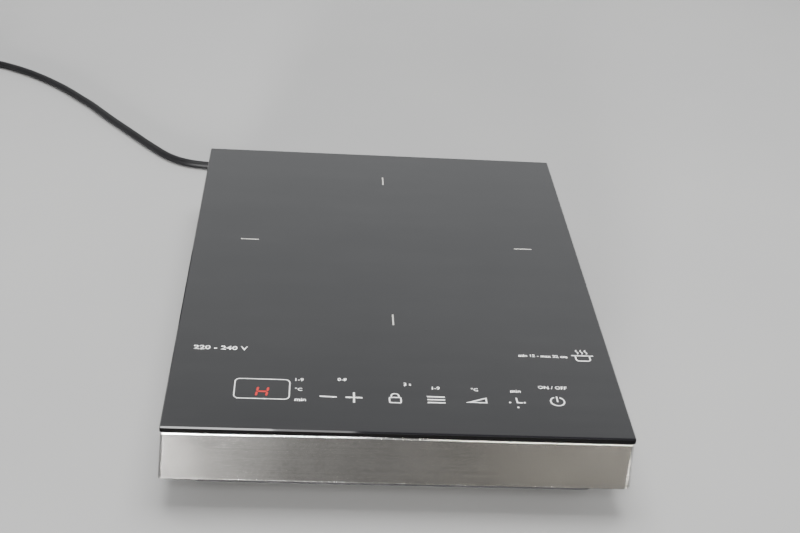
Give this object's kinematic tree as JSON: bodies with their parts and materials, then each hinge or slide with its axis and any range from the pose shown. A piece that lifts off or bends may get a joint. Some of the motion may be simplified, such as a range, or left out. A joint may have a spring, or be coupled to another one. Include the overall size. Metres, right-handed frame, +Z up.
{
  "type": "portable electric induction cooktop",
  "caption": "Flat free-standing induction cooktop: black glass top with touch controls, brushed steel case, slotted black base on rubber feet, and a mains cord with plug.",
  "frame": {"origin": "centre of the footprint, on the surface that the feet stand on", "axes": "+X to the user's right, +Y to the back of the cooktop, +Z up out of the glass"},
  "size_m": [0.6592, 0.6912, 0.06],
  "materials": {
    "black_glass": "gloss",
    "silicone": "matte",
    "brushed_case": "brushed",
    "brushed_fascia": "brushed",
    "pan_plastic": "matte",
    "foot_rubber": "matte",
    "zinc_screw": "satin",
    "board_green": "satin",
    "sink_aluminium": "satin",
    "device_black": "matte",
    "capacitor_yellow": "satin",
    "capacitor_sleeve": "gloss",
    "ferrite_grey": "matte",
    "copper_wire": "satin",
    "fuse_ceramic": "satin",
    "varistor_blue": "satin",
    "tape_amber": "satin",
    "connector_white": "satin",
    "terminal_brass": "satin",
    "fan_plastic": "matte",
    "polished_steel": "gloss",
    "lead_red": "satin",
    "former_plastic": "matte",
    "mica": "satin",
    "sensor_ceramic": "matte",
    "led_lens": "gloss",
    "ribbon_grey": "satin",
    "cord_rubber": "satin",
    "wire_sleeve": "satin",
    "earth_sleeve": "satin",
    "relief_rubber": "matte",
    "plug_plastic": "satin",
    "plug_nickel": "gloss"
  },
  "bodies": {
    "housing": {"glass_top": "black_glass", "glass_seal": "silicone", "side_shell": "brushed_case", "front_fascia": "brushed_fascia", "base_pan": "pan_plastic", "rubber_feet": "foot_rubber", "shell_screws": "zinc_screw", "power_board": "board_green", "board_screws": "zinc_screw", "heat_sink": "sink_aluminium", "igbt": "device_black", "bridge_rectifier": "device_black", "heat_sink_screws": "zinc_screw", "film_capacitors": "capacitor_yellow", "electrolytic_capacitors": "capacitor_sleeve", "choke_core": "ferrite_grey", "choke_winding": "copper_wire", "mains_fuse": "fuse_ceramic", "varistor": "varistor_blue", "supply_transformer": "tape_amber", "buzzer": "device_black", "board_connectors": "connector_white", "board_terminals": "terminal_brass", "fan_frame": "fan_plastic", "fan_bearing": "terminal_brass", "fan_stator": "copper_wire", "fan_screws": "zinc_screw", "fan_lead": "lead_red", "coil_carrier": "sink_aluminium", "ferrite_bars": "ferrite_grey", "coil_former": "former_plastic", "coil_winding": "copper_wire", "mica_sheet": "mica", "coil_screws": "zinc_screw", "coil_leads": "copper_wire", "sensor_guide": "former_plastic", "sensor_spring": "polished_steel", "sensor_leads": "connector_white", "control_board": "board_green", "control_bracket": "pan_plastic", "control_screws": "zinc_screw", "touch_springs": "terminal_brass", "display_module": "device_black", "indicator_leds": "led_lens", "ribbon_cable": "ribbon_grey", "cord_clamp": "connector_white", "clamp_screws": "zinc_screw", "inner_cord": "cord_rubber", "mains_wires": "wire_sleeve", "earth_wire": "earth_sleeve", "cord_strain_relief": "relief_rubber", "power_cord_run": "cord_rubber", "power_cord_coil": "cord_rubber", "power_cord_tail": "cord_rubber", "plug_body": "plug_plastic", "plug_contacts": "plug_nickel"},
    "fan_wheel": {"fan_rotor": "fan_plastic", "fan_magnet": "ferrite_grey", "fan_shaft": "polished_steel"},
    "sensor": {"temperature_sensor": "sensor_ceramic"}
  },
  "joints": [
    {"name": "fan_spin", "type": "hinge", "parent": "housing", "child": "fan_wheel", "pos_m": [-0.082, 0, 0.02], "axis": [0, 0, 1], "continuous": true},
    {"name": "sensor_press", "type": "slide", "parent": "housing", "child": "sensor", "axis": [0, 0, 1], "range_m": [-0.0015, 0], "stiffness_N_per_m": 250, "springref_m": 0.002, "deforming": ["sensor_spring"]}
  ]
}
